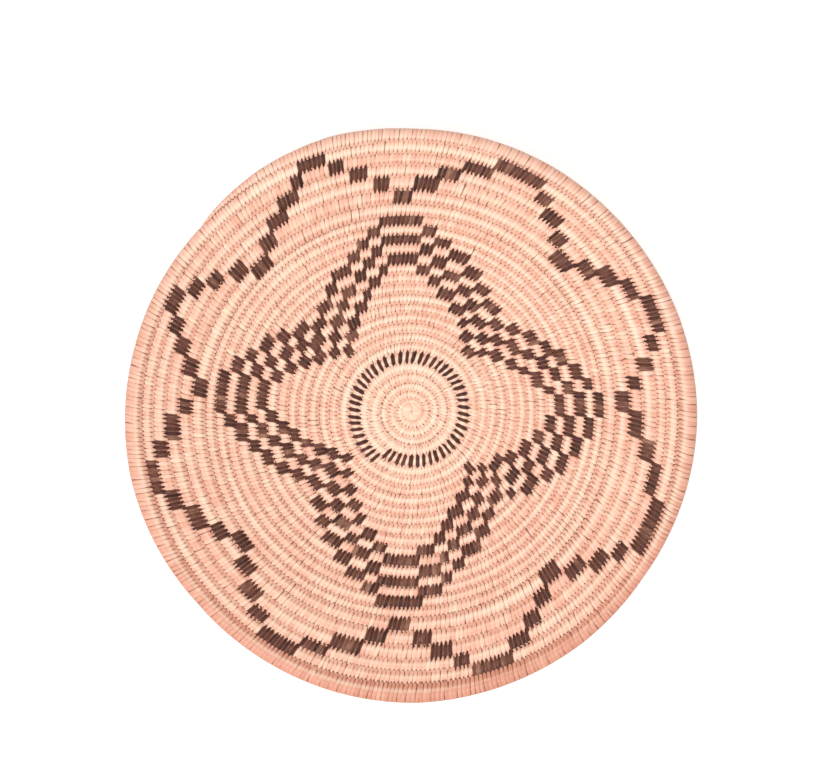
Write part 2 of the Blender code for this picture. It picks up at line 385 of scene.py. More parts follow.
RAISES = np.array([
    [-0.18, -0.11, -0.07, -0.03, 0.00, 0.00, 0.00, -0.05, -0.16],
    [0.02, 0.10, 0.08, 0.02, 0.00, 0.00, 0.02, 0.04, 0.00],
    [0.14, 0.24, 0.24, 0.16, 0.14, 0.14, 0.18, 0.18, 0.00],
    [-0.10, -0.04, -0.02, 0.00, 0.00, 0.00, 0.00, -0.02, -0.12],
]) * MM
light_kinds = np.where(stitch_turns < RING_ROW, FINE, LIGHT)
stitch_kinds = np.where(ring_dark, DASH, np.where(stitch_dark, DARK, light_kinds))
print("stitches of each kind:", np.bincount(stitch_kinds))

# %% [markdown]
# The free edge. The last turn has no turn outside it, so its stitches go round the coil's
# side and touch right to the edge. The coil is open from one turn before the tip of the
# tail. The openness grows from 0 to 1 there over a few stitches, and blends the outer half
# of a stitch from sewn under to open, so that no step shows beside the tail.

# %% Outline of a stitch
FREE_BLEND = 0.016
FREE_TURNS = (TAIL_END - (1.0 + FREE_BLEND), TAIL_END - 1.0)
FREE_SWEEP = 1.54
FREE_WIDTH_SHARE = 0.95
FAN_START = 0.4
VALLEY_SHARE = 0.60


def free_openness(turn):
    """How open the coil's outer side is: 0 under the next turn, 1 on the rim's free edge."""
    return np.interp(turn, FREE_TURNS, [0.0, 1.0])


def section_lift(across, openness):
    """Height of the coil's face as a share of its half thickness.

    sqrt(1 - (1 - v^2) x^2), with x from the nearest crest, so it falls to the valley share
    v at the seam. The valley sinks as the side opens, and an open side falls to nothing.
    """
    from_crest = 1.0 - np.abs(1.0 - np.abs(across))
    valley = VALLEY_SHARE * (1.0 - openness)
    return np.sqrt(1.0 - (1.0 - valley ** 2) * from_crest ** 2)


def stitch_outline(kinds, free):
    """Across, lift share, width share and raise of the stations on one face.

    Across runs from the outer end to the inner end, in half widths of the coil. On a free
    edge the outer half goes round the coil's side, x = sin(pi/2 * across / sweep), where
    the stitches fan apart a little.
    """
    across = ACROSS[kinds]
    openness = free[:, None] * (across > 0.0)
    across = across + openness * (np.sin(math.pi / 2.0 * across / FREE_SWEEP) - across)
    past_start = np.clip(across - FAN_START, 0.0, None)
    fanned = 1.0 - (1.0 - FREE_WIDTH_SHARE) * past_start / (1.0 - FAN_START)
    width_share = WIDTH_SHARES[kinds] + openness * (fanned - WIDTH_SHARES[kinds])
    raised = RAISES[kinds] * (1.0 - openness)
    return across, section_lift(across, openness), width_share, raised


# %% Corners of the stitches
STITCH_HEIGHT = 0.16 * MM
EDGE_DEPTH = 0.06 * MM
CORNER_SIDES = np.array([-1.0, -0.56, 0.56, 1.0])
CORNER_HEIGHTS = np.array([-EDGE_DEPTH, STITCH_HEIGHT, STITCH_HEIGHT, -EDGE_DEPTH])
START_TURNS = 2.5
START_HALF = BAND_PITCHES[1] / 2.0


def stitch_points(turns, inner, outer, widths, leans, lifts, kinds, free):
    """Corners of many stitches as an array of stitch, station, corner and x, y, z.

    A station is at the coil's middle + across * half width, shifted along the coil by the
    lean, and its face lies at + or - thickness * lift share. The coil starts thin beside
    the knot, where it keeps a full row's girth. Nothing goes under the floor.
    """
    across, lift_share, width_share, raised = stitch_outline(kinds, free)
    middle, half = ((inner + outer) / 2.0)[:, None], ((outer - inner) / 2.0)[:, None]
    radius = middle + across * half
    steepness = np.sqrt(1.0 + dish_slope(middle) ** 2)
    girth = np.where(turns[:, None] < START_TURNS, np.maximum(half, START_HALF), half)
    thickness = girth * steepness * THICKNESS_SHARE - STITCH_HEIGHT / 2.0
    under = np.minimum(thickness, ORIGIN[2] + dish_height(middle) - STITCH_HEIGHT)
    shift = -leans[:, None] * across * half
    along = shift[..., None] + widths[:, None, None] * width_share[..., None] * (CORNER_SIDES / 2.0)
    turn = turns[:, None, None] + along / (TURN * radius[..., None])
    raised = raised + lifts[:, None]
    top = (thickness * lift_share + raised)[..., None] + CORNER_HEIGHTS
    bottom = (under * lift_share + raised)[..., None] + CORNER_HEIGHTS
    bottom = np.minimum(bottom, ORIGIN[2] + dish_height(radius)[..., None])
    upper = wall_point(turn, radius[..., None], top)
    lower = wall_point(turn, radius[..., None], -bottom)
    return np.concatenate([upper, lower[:, ::-1]], axis=1)


# %% [markdown]
# No two stitches are alike. A stitch is a little wider than its place, so that it touches
# its neighbours, and in slack stretches only just. Width, lift and lean each vary about
# what the place asks for, as a hand's work does.

# %% Width, lift and lean of each stitch
SNUG_SHARE = 1.05
LOOSENESS = 0.04
LOOSENESS_SPEED = 0.37
LOOSENESS_POWER = 1.5
DARK_WIDTH_SPREAD, LIGHT_WIDTH_SPREAD = 0.07, 0.03
WIDTH_TURNS = [5.0, 9.0, 26.6, 26.8]
WIDTH_SCALES = [1.10, 1.0, 1.0, 0.97]
RING_DASH_SHARE = 1.04
DARK_SHARE = 0.92
LIFT_SPREAD = 0.03 * MM
LEAN_SPREAD = 0.25
LOW_MIDDLE_HIGH = [5, 50, 95]

stitch_free = free_openness(stitch_turns)
slack = LOOSENESS * np.sin(TURN * LOOSENESS_SPEED * stitch_turns ** LOOSENESS_POWER) ** 2
width_spreads = np.where(stitch_dark, DARK_WIDTH_SPREAD, LIGHT_WIDTH_SPREAD)
stitch_widths = stitch_steps * TURN * stitch_radii * (SNUG_SHARE - slack)
stitch_widths *= 1.0 + width_spreads * rng.standard_normal(stitch_count)
stitch_widths *= np.interp(stitch_turns, WIDTH_TURNS, WIDTH_SCALES)
stitch_widths *= np.where(ring_dark, RING_DASH_SHARE, np.where(stitch_dark, DARK_SHARE, 1.0))
stitch_lifts = LIFT_SPREAD * rng.standard_normal(stitch_count)
stitch_leans = STITCH_LEAN * (1.0 + LEAN_SPREAD * rng.standard_normal(stitch_count))
print("stitch widths (mm):", np.round(np.percentile(stitch_widths, LOW_MIDDLE_HIGH) / MM, 2))

# %% [markdown]
# From arrays to a mesh. All the rings of a piece are numbered alike, so their faces come
# from one rule, and foreach_set hands whole arrays to Blender. Smooth shading rounds the
# splints, and only the fold under each splint's own edge stays sharp.

# %% Turn arrays into a mesh
FOLD_ANGLE = math.radians(100.0)


def ring_faces(count, stations, corners):
    """Quads of closed rings: each joins a corner and the next, at a station and the next."""
    ring, station, corner = np.indices((count, stations, corners))

    def index(at_station, at_corner):
        return (ring * stations + at_station % stations) * corners + at_corner % corners

    faces = [index(station, corner), index(station + 1, corner),
             index(station + 1, corner + 1), index(station, corner + 1)]
    return np.stack(faces, axis=-1).reshape(-1, 4)


def mesh_object(name, points, faces, values):
    """A smooth mesh object at the origin, sharp only where it folds under its own edge.

    Each entry of values becomes an attribute with one value or vector a point.
    """
    mesh = bpy.data.meshes.new(name)
    mesh.vertices.add(points.size // 3)
    mesh.vertices.foreach_set("co", points.astype(np.float32).ravel())
    mesh.loops.add(faces.size)
    mesh.loops.foreach_set("vertex_index", faces.astype(np.int32).ravel())
    mesh.polygons.add(len(faces))
    loop_starts = np.arange(0, faces.size, faces.shape[1], dtype=np.int32)
    mesh.polygons.foreach_set("loop_start", loop_starts)
    mesh.update(calc_edges=True)
    mesh.shade_smooth()
    mesh.set_sharp_from_angle(angle=FOLD_ANGLE)
    for label, numbers in values.items():
        kind, field = ("FLOAT_VECTOR", "vector") if numbers.ndim == 2 else ("FLOAT", "value")
        attribute = mesh.attributes.new(label, kind, "POINT")
        attribute.data.foreach_set(field, numbers.astype(np.float32).ravel())
    piece = bpy.data.objects.new(name, mesh)
    bpy.context.scene.collection.objects.link(piece)
    print(name, "has", 2 * len(faces), "triangles")
    return piece


# %% [markdown]
# Finishes. The light splints are split willow-like shoots, scraped to the white wood, sewn
# damp and polished by handling: satin, cream on the crests, where wear and a painted
# highlight lie together, pinker down in the seams, which is painted shade, with fine fibres
# that run along each stitch. In the centre they are paler, and on the rim browner. The dark
# splints are the skin of a dried pod: brown-black, duller, broadly streaked, and faded to
# brown here and there. Colours are written as sRGB hex values, as they are seen, and one
# function turns them to linear light.

# %% Colours and nodes
def linear(hex_colour):
    """Linear colour from an sRGB hex value: each channel through the sRGB curve."""
    channels = np.array([int(hex_colour[index:index + 2], 16) for index in (0, 2, 4)]) / 255.0
    curved = np.where(channels <= 0.04045, channels / 12.92, ((channels + 0.055) / 1.055) ** 2.4)
    return (*curved, 1.0)


def add_node(tree, kind, settings, links):
    """A node with its settings, and its inputs linked from other nodes' outputs or set."""
    node = tree.nodes.new(kind)
    for name, value in settings.items():
        setattr(node, name, value)
    for socket, source in links.items():
        if isinstance(source, bpy.types.NodeSocket):
            tree.links.new(source, node.inputs[socket])
        else:
            node.inputs[socket].default_value = source
    return node


def ramp_colours(node, places, colours):
    """Sets a colour ramp's stops from their places and sRGB hex values."""
    elements = node.color_ramp.elements
    while len(elements) < len(places):
        elements.new(1.0)
    for element, place, colour in zip(elements, places, colours):
        element.position = place
        element.color = linear(colour)


print("cream FFE6CC in linear light:", np.round(linear("FFE6CC")[:3], 2))

# %% [markdown]
# A splint's colour is built up in layers. Each stitch has its own tone, which fibres streak.
# Over that come the worn crest with a painted highlight, painted shade in the seams, painted
# shade along the edges of light splints and paler edges on dark ones, and a painted shadow on
# the tips, where the holes are, each by its place on the stitch. The places are in half
# widths of the coil from its middle, or of the splint for the edges. Shoots and pods are both
# mostly cellulose, so all four finishes have its index of refraction, 1.5.

# %% Places of the layers
TONE_PLACES = (0.0, 0.35, 0.65, 1.0)
# CREST_PLACE and RIM_CREST_PLACE centre the worn crest and its painted highlight, SEAM_REACH spans the
# painted shade of the seams, EDGE_REACH the edge colour, which is painted shade on light splints, and
# TIP_REACH the painted shadow on the tips.
CREST_PLACE = 0.03
RIM_CREST_PLACE = -0.08
CREST_REACH = (0.0, 0.8)
SEAM_REACH = (0.3, 0.9)
EDGE_REACH = (0.66, 1.0)
TIP_PLACE = 0.15
TIP_REACH = (1.17, 1.29)
STREAK_DETAIL = 3.0
STREAK_ROUGHNESS = 0.6
LIGHT_STREAKS, DARK_STREAKS = 0.6, 1.2
FIBRE_RELIEF = 0.1 * MM
FIBRE_STRENGTH = 0.3
PLANT_IOR = 1.5
SATIN_ROUGHNESS, DULL_ROUGHNESS = 0.45, 0.6
SATIN_SPECULAR, DULL_SPECULAR = 0.5, 0.3
print("the worn crest reaches", CREST_REACH[1], "half widths to each side")


# %% How strongly each layer shows
def layer_shares(tree, read, worn_highlight_share, seam_share, edge_share, crest_place):
    """Sockets with the strength of the crest, seam, edge and tip layers.

    Wear with a painted highlight falls smoothly from the crest and reaches as far as the
    stitch is polished, painted shade rises towards the seams, the edge colour rises towards
    the sides, and a painted shadow lies on the tips.
    """
    def distance_from(place):
        offset = add_node(tree, "ShaderNodeMath", {"operation": "SUBTRACT"}, {0: read["across"], 1: place})
        distance = add_node(tree, "ShaderNodeMath", {"operation": "ABSOLUTE"}, {0: offset.outputs["Value"]})
        return distance.outputs["Value"]

    from_crest = distance_from(crest_place)
    reach = add_node(tree, "ShaderNodeMath", {"operation": "DIVIDE"}, {0: from_crest, 1: read["polish_and_sheen"]})
    # Wear on the crest with a painted highlight, as broad and strong as the stitch's polish.
    wear_and_highlight = add_node(tree, "ShaderNodeMapRange", {"interpolation_type": "SMOOTHSTEP"}, {
        "Value": reach.outputs["Value"], "From Min": CREST_REACH[0], "From Max": CREST_REACH[1],
        "To Min": worn_highlight_share, "To Max": 0.0})
    worn_highlight_shown = add_node(tree, "ShaderNodeMath", {"operation": "MULTIPLY", "use_clamp": True}, {
        0: wear_and_highlight.outputs["Result"], 1: read["polish_and_sheen"]})
    # Painted shade that grows towards the seams.
    seam_shade = add_node(tree, "ShaderNodeMapRange", {"interpolation_type": "SMOOTHSTEP"}, {
        "Value": from_crest, "From Min": SEAM_REACH[0], "From Max": SEAM_REACH[1],
        "To Max": seam_share})
    # The edge colour: painted shade between light stitches, and paler edges on dark ones.
    from_middle = add_node(tree, "ShaderNodeMath", {"operation": "ABSOLUTE"}, {0: read["side"]})
    edge_shade_and_pale_edge = add_node(tree, "ShaderNodeMapRange", {}, {
        "Value": from_middle.outputs["Value"], "From Min": EDGE_REACH[0], "From Max": EDGE_REACH[1],
        "To Max": edge_share})
    # Painted shadow on the tips, where the holes are.
    shade = add_node(tree, "ShaderNodeMapRange", {"interpolation_type": "SMOOTHSTEP"}, {
        "Value": distance_from(TIP_PLACE), "From Min": TIP_REACH[0], "From Max": TIP_REACH[1]})
    return worn_highlight_shown.outputs["Value"], seam_shade.outputs["Result"], edge_shade_and_pale_edge.outputs["Result"], shade.outputs["Result"]


# %% A sewn splint's material
def splint_material(name, tones, worn_and_highlight, seam, edge, tip_shadow_colour, crest_place=CREST_PLACE,
                    streak_share=LIGHT_STREAKS, roughness=SATIN_ROUGHNESS, specular=SATIN_SPECULAR):
    """Streaked tone ramp by stitch, then crests lightened by rubbing and a painted highlight,
    painted shade in the seams, edge colours and a painted shadow on the tips.

    The arguments worn_and_highlight, seam and edge are each a colour and its strongest share.
    """
    material = bpy.data.materials.new(name)
    material.use_nodes = True
    tree = material.node_tree
    shader = tree.nodes["Principled BSDF"]
    read = {label: add_node(tree, "ShaderNodeAttribute", {"attribute_name": label}, {}).outputs["Fac"]
            for label in ("tone", "across", "side", "polish_and_sheen")}
    fibre = add_node(tree, "ShaderNodeAttribute", {"attribute_name": "fibre"}, {})
    streaks = add_node(tree, "ShaderNodeTexNoise", {}, {
        "Vector": fibre.outputs["Vector"], "Scale": 1.0,
        "Detail": STREAK_DETAIL, "Roughness": STREAK_ROUGHNESS})
    toned = add_node(tree, "ShaderNodeMath", {"operation": "MULTIPLY_ADD"}, {
        0: streaks.outputs["Fac"], 1: streak_share, 2: read["tone"]})
    ramp = add_node(tree, "ShaderNodeValToRGB", {}, {"Fac": toned.outputs["Value"]})
    ramp_colours(ramp, TONE_PLACES, tones)

    colour = ramp.outputs["Color"]
    shares = layer_shares(tree, read, worn_and_highlight[1], seam[1], edge[1], crest_place)
    for share, layer_colour in zip(shares, (worn_and_highlight[0], seam[0], edge[0], tip_shadow_colour)):
        mixed = add_node(tree, "ShaderNodeMix", {"data_type": "RGBA"}, {
            "Factor": share, "A": colour, "B": linear(layer_colour)})
        colour = mixed.outputs["Result"]
    bump = add_node(tree, "ShaderNodeBump", {}, {
        "Height": streaks.outputs["Fac"], "Strength": FIBRE_STRENGTH, "Distance": FIBRE_RELIEF})
    tree.links.new(colour, shader.inputs["Base Color"])
    tree.links.new(bump.outputs["Normal"], shader.inputs["Normal"])
    shader.inputs["Roughness"].default_value = roughness
    shader.inputs["IOR"].default_value = PLANT_IOR
    shader.inputs["Specular IOR Level"].default_value = specular
    return material


# %% Finishes of the splints
# In the light, centre and rim finishes the worn colour is wear with a painted highlight on the crests, the
# seam colour is painted shade, the edge colour is painted shade between stitches, and the tip colour is a
# painted shadow in the holes.
light_splint = splint_material(
    "scraped_light_splint", ["ECA78D", "F4BAA0", "F8C9AE", "FCDABE"], worn_and_highlight=("FFE6CC", 0.84),
    seam=("E8A488", 0.15), edge=("DC9C80", 0.45), tip_shadow_colour="8A5642")
centre_splint = splint_material(
    "pale_centre_splint", ["F2B298", "F6C0A6", "FACFB4", "FDDEC2"], worn_and_highlight=("FFE6CC", 0.65),
    seam=("ECAA8E", 0.3), edge=("E4A88C", 0.4), tip_shadow_colour="B47C64")
# The rim's splints are browner, and the painted highlight on their crests sits a little inwards.
rim_splint = splint_material(
    "browner_rim_splint", ["DA9278", "E8A68C", "F2BAA1", "F9D0B8"], worn_and_highlight=("FFE0C6", 0.9),
    seam=("DC9478", 0.1), edge=("D09078", 0.35), tip_shadow_colour="7C4838", crest_place=RIM_CREST_PLACE)
# In the dark finish the worn colour is wear with a painted highlight on the crests, the seam colour is
# painted shade and the tip colour a painted shadow; the edge colour is paler than the splint.
dark_splint = splint_material(
    "dark_pod_splint", ["2A100A", "451E15", "603226", "A87A64"], worn_and_highlight=("7C503E", 0.3),
    seam=("442018", 0.2), edge=("A4765F", 0.55), tip_shadow_colour="341410",
    streak_share=DARK_STREAKS, roughness=DULL_ROUGHNESS, specular=DULL_SPECULAR)
print("finishes:", light_splint.name, centre_splint.name, rim_splint.name, dark_splint.name)

# %% [markdown]
# The foundation's finish. The rods show only between two stitches, and there they stand
# for shadow: they are a dull dark brown, darker than the real rods, as painted shade for the
# slits. A plain noise as coarse as one rod, 1.5 mm, is enough for that.

# %% Foundation's material
ROD_WIDTH = 1.5 * MM
ROD_DETAIL = 2.0
# A darker brown than the rods themselves: painted shade for the slits between stitches.
ROD_PLACES, ROD_SHADE_TONES = (0.3, 0.7), ("96604C", "B8826A")
ROD_ROUGHNESS = 0.8

foundation_shade_material = bpy.data.materials.new("rod_foundation_painted_shade")
foundation_shade_material.use_nodes = True
rods = foundation_shade_material.node_tree
rod_shader = rods.nodes["Principled BSDF"]
rod_place = add_node(rods, "ShaderNodeTexCoord", {}, {})
rod_noise = add_node(rods, "ShaderNodeTexNoise", {}, {
    "Vector": rod_place.outputs["Object"], "Scale": 1.0 / ROD_WIDTH, "Detail": ROD_DETAIL})
rod_ramp = add_node(rods, "ShaderNodeValToRGB", {}, {"Fac": rod_noise.outputs["Fac"]})
ramp_colours(rod_ramp, ROD_PLACES, ROD_SHADE_TONES)
rods.links.new(rod_ramp.outputs["Color"], rod_shader.inputs["Base Color"])
rod_shader.inputs["Roughness"].default_value = ROD_ROUGHNESS
print("foundation's finish:", foundation_shade_material.name)

# %% [markdown]
# Tone and polish. Shoots were gathered in batches, so the tone drifts along the coil, and
# each stitch differs a little from its neighbours. The polish, which sets how broad and
# strong the wear and the painted highlight on a crest are, drifts along the coil too. From the
# star outwards a little, and on the rim fully, the tone is raised on the upper side and
# lowered on the lower side, and the polish with its painted highlight follows. A block of the
# pattern was sewn with one dark splint, so some whole blocks are faded.

# %% Drift of the light tone
BATCH_SPEEDS, BATCH_SHARE = [0.61, 1.83, 3.27], 0.1
TONE_MIDDLE, TONE_LIMITS = 0.11, (-0.2, 0.7)
TONE_TURNS, TONE_SPREADS = [26.5, 26.8], [0.17, 0.1]
# Polish sets how broad and strong the crest's wear and painted highlight are; it drifts along the coil.
POLISH_SHEEN_SPEEDS, POLISH_SHEEN_SHARE = [0.43, 1.37, 2.71, 5.3], 0.5
POLISH_SHEEN_MIDDLE, POLISH_SHEEN_SPREAD = 0.62, 0.06


def drift_along(turns, speeds, phases):
    """Slow change along the coil: the mean of sines of the turn, from -1 to 1."""
    sines = [np.sin(TURN * (speed * turns + phase)) for speed, phase in zip(speeds, phases)]
    return np.mean(sines, axis=0)


batch = drift_along(stitch_turns, BATCH_SPEEDS, rng.random(len(BATCH_SPEEDS)))
tone_spread = np.interp(stitch_turns, TONE_TURNS, TONE_SPREADS)
light_tones = TONE_MIDDLE + BATCH_SHARE * batch + tone_spread * rng.standard_normal(stitch_count)
light_tones = np.clip(light_tones, *TONE_LIMITS)
polish_sheen_drift = drift_along(stitch_turns, POLISH_SHEEN_SPEEDS, rng.random(len(POLISH_SHEEN_SPEEDS)))
stitch_polish_and_sheen = POLISH_SHEEN_MIDDLE + POLISH_SHEEN_SHARE * polish_sheen_drift + POLISH_SHEEN_SPREAD * rng.standard_normal(stitch_count)
print("light tones:", np.round(np.percentile(light_tones, LOW_MIDDLE_HIGH), 2))

# %% Pale bands and side tones
PALE_TURNS = [3.0, 6.5, 10.0, 21.0, 23.0]
PALENESS = [0.26, 0.34, 0.05, 0.04, 0.0]
# The tone is raised on the upper side and lowered on the lower side, a little on the outer rows and fully on
# the rim; the polish with its painted highlight follows.
SIDE_TONE_ANGLES, SIDE_TONES = [45, 135, 225, 315], [0.3, 0.4, -0.10, -0.18]
SIDE_TONE_TURNS, SIDE_TONE_SHARES = [8.0, 12.0, 26.3, 26.9], [0.0, 0.2, 0.2, 1.0]
SIDE_POLISH_SHEEN = 0.5
POLISH_SHEEN_LIMITS = (0.22, 1.2)

light_tones += np.interp(stitch_turns, PALE_TURNS, PALENESS)
side_tones = np.interp(stitch_angles % CIRCLE, SIDE_TONE_ANGLES, SIDE_TONES, period=CIRCLE)
side_tones *= np.interp(stitch_turns, SIDE_TONE_TURNS, SIDE_TONE_SHARES)
light_tones += side_tones
stitch_polish_and_sheen = np.clip(stitch_polish_and_sheen + SIDE_POLISH_SHEEN * side_tones, *POLISH_SHEEN_LIMITS)
print("polish from", round(stitch_polish_and_sheen.min(), 2), "to", round(stitch_polish_and_sheen.max(), 2))

# %% Tone of the dark blocks
FADE_SEED = 5
FADE_POWER = 2.5
BLOCK_KEYS = 2000
FIRST_ZIGZAG_KEY = 1000
KEYS_A_COLUMN = 40
DARK_MIDDLE, DARK_SPREAD, FADE_SHARE = -0.14, 0.16, 0.13
RING_MIDDLE, RING_SPREAD_SHARE = -0.2, 0.5

star_keys = KEYS_A_COLUMN * star_columns + star_rows
block_keys = np.where(zigzag_dark, FIRST_ZIGZAG_KEY + zigzag_columns, star_keys)
block_fade = np.random.default_rng(FADE_SEED).random(BLOCK_KEYS) ** FADE_POWER
faded = np.where(star_dark | zigzag_dark, block_fade[np.clip(block_keys, 0, BLOCK_KEYS - 1)], 0.0)
dark_tones = DARK_SPREAD * rng.standard_normal(stitch_count) + FADE_SHARE * faded
dark_tones = np.where(ring_dark, RING_SPREAD_SHARE * dark_tones + RING_MIDDLE, dark_tones + DARK_MIDDLE)
stitch_tones = np.where(stitch_dark, dark_tones, light_tones)
print("dark tones:", np.round(np.percentile(dark_tones[stitch_dark], LOW_MIDDLE_HIGH), 2))

# %% [markdown]
# Sew the pieces. The stitches are gathered by band and by colour, one piece each, so that a
# piece takes one finish and stays a moderate mesh. The star's band alone would be too many
# triangles, so it is sewn in three. Each piece stands for the plain rounds of the packed
# model that it covers. The fibres are a noise in each splint's own frame, stretched along
# it, with every stitch at a place of its own in the noise. Real fibres are about a tenth of
# a millimetre wide, too fine to show, so they are drawn 0.6 mm wide and 3 mm long.

# %% Gather stitches into pieces
STATION_STEP = 1.05 * MM
FIBRE_LENGTH = 3.0 * MM
FIBRE_WIDTH = 0.6 * MM
FIBRE_CORNERS = np.array([-1.32, -0.72, 0.72, 1.32]) * MM / FIBRE_WIDTH
FIBRE_SHUFFLE = 3000.0


def sewn_piece(name, chosen, material, nodes):
    """The chosen stitches as one piece that rides on the tray and replaces its rounds."""
    turns, kinds, free = stitch_turns[chosen], stitch_kinds[chosen], stitch_free[chosen]
    points = stitch_points(turns, inner_edges[chosen], outer_edges[chosen], stitch_widths[chosen],
                           stitch_leans[chosen], stitch_lifts[chosen], kinds, free)
    shape = points.shape[:3]
    outline = stitch_outline(kinds, free)[0]
    outline = np.concatenate([outline, outline[:, ::-1]], axis=1)
    along = np.arange(shape[1])[None, :, None] * STATION_STEP / FIBRE_LENGTH
    fibre = [along, FIBRE_CORNERS[None, None, :], turns[:, None, None] * FIBRE_SHUFFLE]
    values = {
        "tone": np.broadcast_to(stitch_tones[chosen][:, None, None], shape).ravel(),
        "polish_and_sheen": np.broadcast_to(stitch_polish_and_sheen[chosen][:, None, None], shape).ravel(),
        "across": np.broadcast_to(outline[:, :, None], shape).ravel(),
        "side": np.broadcast_to(CORNER_SIDES, shape).ravel(),
        "fibre": np.stack(np.broadcast_arrays(*fibre), axis=-1).reshape(-1, 3),
    }
    piece = mesh_object(name, points, ring_faces(*shape), values)
    piece.data.materials.append(material)
    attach(piece, "root")
    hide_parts(*nodes)
    return piece


# %% Sew band by band
RIM_START = 26.69
BANDS = {
    "centre": (0, RING_ROW), "ring": (RING_ROW, 7),
    "star_inner": (7, 13), "star_middle": (13, 18), "star_outer": (18, ZIGZAG_FIRST_ROW),
    "zigzag": (ZIGZAG_FIRST_ROW, RIM_START), "rim": (RIM_START, 28),
}
FINISHES = {"centre": (centre_splint, "light_splint"), "rim": (rim_splint, "rim_splint")}

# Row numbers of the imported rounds. The tail is filed under the turn where it ends.
rounds = {int(name[-2:]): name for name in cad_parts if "_round_" in name}
rounds[TAIL_END] = "coil_tail"
for band, (first, last) in BANDS.items():
    inside = (stitch_turns >= first) & (stitch_turns < last)
    nodes = [rounds[row] for row in sorted(rounds) if first <= row < last]
    material, slot = FINISHES.get(band, (light_splint, "light_splint"))
    sewn_piece(f"light_splints_{band}", inside & ~stitch_dark, material, nodes)
    if (inside & stitch_dark).any():
        sewn_piece(f"dark_splints_{band}", inside & stitch_dark, dark_splint, nodes)

# %% [markdown]
# The foundation. Inside the stitches lies the coil itself. It shows only as a dark slit
# here and there between two stitches, so it is one plain tube that follows the spiral a
# little below the sewing. Its rings are spaced by length along the coil, so that the outer
# turns are as fine as the inner ones, and both ends are closed with three quads.

# %% Walk along the coil
WALK_MARKS = 20000
FOUNDATION_END = TAIL_END - 0.004
FOUNDATION_STEP = 4.0 * MM
fine_turns, fine_step = np.linspace(FIRST_STITCH, FOUNDATION_END, WALK_MARKS, retstep=True)
walked = np.cumsum(TURN * fine_step * middle_radius(fine_turns))
rod_turns = np.interp(np.arange(0.0, walked[-1], FOUNDATION_STEP), walked, fine_turns)
print("coil is", round(walked[-1], 2), "m long")

# %% Wind the foundation
FOUNDATION_GAP = 0.42 * MM
FOUNDATION_SIDE = 0.98
CAP_QUADS = np.array([[0, 1, 2, 3], [0, 3, 4, 7], [4, 5, 6, 7]])

rod_inner, rod_outer = coil_edges(rod_turns)
rod_middle, rod_half = (rod_inner + rod_outer)[:, None] / 2.0, (rod_outer - rod_inner)[:, None] / 2.0
side_across = np.array([[1.0, 0.5, -0.5, -1.0]]) * FOUNDATION_SIDE
side_lift = section_lift(side_across, free_openness(rod_turns)[:, None] * (side_across > 0.0))
rod_steepness = np.sqrt(1.0 + dish_slope(rod_middle) ** 2)
rod_thickness = rod_half * rod_steepness * THICKNESS_SHARE - STITCH_HEIGHT / 2.0
rod_thickness = np.maximum(rod_thickness, 2.0 * FOUNDATION_GAP)
rod_under = np.minimum(rod_thickness, ORIGIN[2] + dish_height(rod_middle) - STITCH_HEIGHT)
rod_radius = rod_middle + side_across * rod_half
rod_top = wall_point(rod_turns[:, None], rod_radius, rod_thickness * side_lift - FOUNDATION_GAP)
rod_bottom = wall_point(rod_turns[:, None], rod_radius, FOUNDATION_GAP - rod_under * side_lift)
rod_points = np.concatenate([rod_top, rod_bottom[:, ::-1]], axis=1)
rod_corners = rod_points.shape[1]
tube_faces = ring_faces(1, len(rod_turns), rod_corners)[:-rod_corners]
end_caps = CAP_QUADS[:, ::-1] + len(rod_turns) * rod_corners - rod_corners
rod_faces = np.concatenate([tube_faces, CAP_QUADS, end_caps])
foundation = mesh_object("foundation_coil", rod_points, rod_faces, {})
foundation.data.materials.append(foundation_shade_material)
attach(foundation, "root")

# %% [markdown]
# The start. In the middle the first shoots are bent round and wrapped over a small knot, so
# a swirl of short strands runs out from the centre to the first turn. Each strand is a
# wedge that turns as it goes out. Under them lies the knot itself, a small ring.

# %% Shape of the strands
STRANDS, STRAND_STATIONS = 9, 9
STRAND_REACH = (0.2 * MM, 6.4 * MM)
STRAND_SWIRL = 0.16
STRAND_OVERLAP = 1.5
STRAND_SPREAD = 0.1
STRAND_TAPER, STRAND_END_POWER = 0.4, 8
STRAND_BULGE = 0.3 * MM
STRAND_LIFT_SPREAD = 0.06 * MM
STRAND_SEED = 9
KNOT_LIFT = 0.25 * MM
KNOT_FALL = 0.62


def knot_height(radius):
    """Half height of the knot's dome: full in the middle, sqrt(1 - fall * (r/R)^2) outside."""
    return knot_half_height * np.sqrt(1.0 - KNOT_FALL * np.clip(radius / STRAND_REACH[1], 0.0, 1.0) ** 2)


strand_rng = np.random.default_rng(STRAND_SEED)
strand_turns = np.cumsum(1.0 + STRAND_SPREAD * strand_rng.standard_normal(STRANDS))
strand_turns = (strand_turns / strand_turns[-1])[:, None, None]
strand_radius = np.linspace(STRAND_REACH[1], STRAND_REACH[0], STRAND_STATIONS)[None, :, None]
strand_ends = np.abs(np.linspace(-1.0, 1.0, STRAND_STATIONS))[None, :, None] ** STRAND_END_POWER
strand_sides = CORNER_SIDES * STRAND_OVERLAP / (2.0 * STRANDS) * (1.0 - STRAND_TAPER * strand_ends)
strand_angle = strand_turns + STRAND_SWIRL * strand_radius / STRAND_REACH[1] + strand_sides
strand_bulge = np.sign(CORNER_HEIGHTS) * STRAND_BULGE * np.sqrt(strand_radius / STRAND_REACH[1])
strand_lifts = (STRAND_LIFT_SPREAD * strand_rng.standard_normal(STRANDS))[:, None, None]
strand_lifts = strand_lifts + KNOT_LIFT * (1.0 - 2.0 * strand_ends)
strand_top = knot_height(strand_radius) - KNOT_LIFT + strand_lifts + strand_bulge
strand_bottom = np.minimum(strand_top, ORIGIN[2])
strand_upper = wall_point(strand_angle, strand_radius, strand_top)
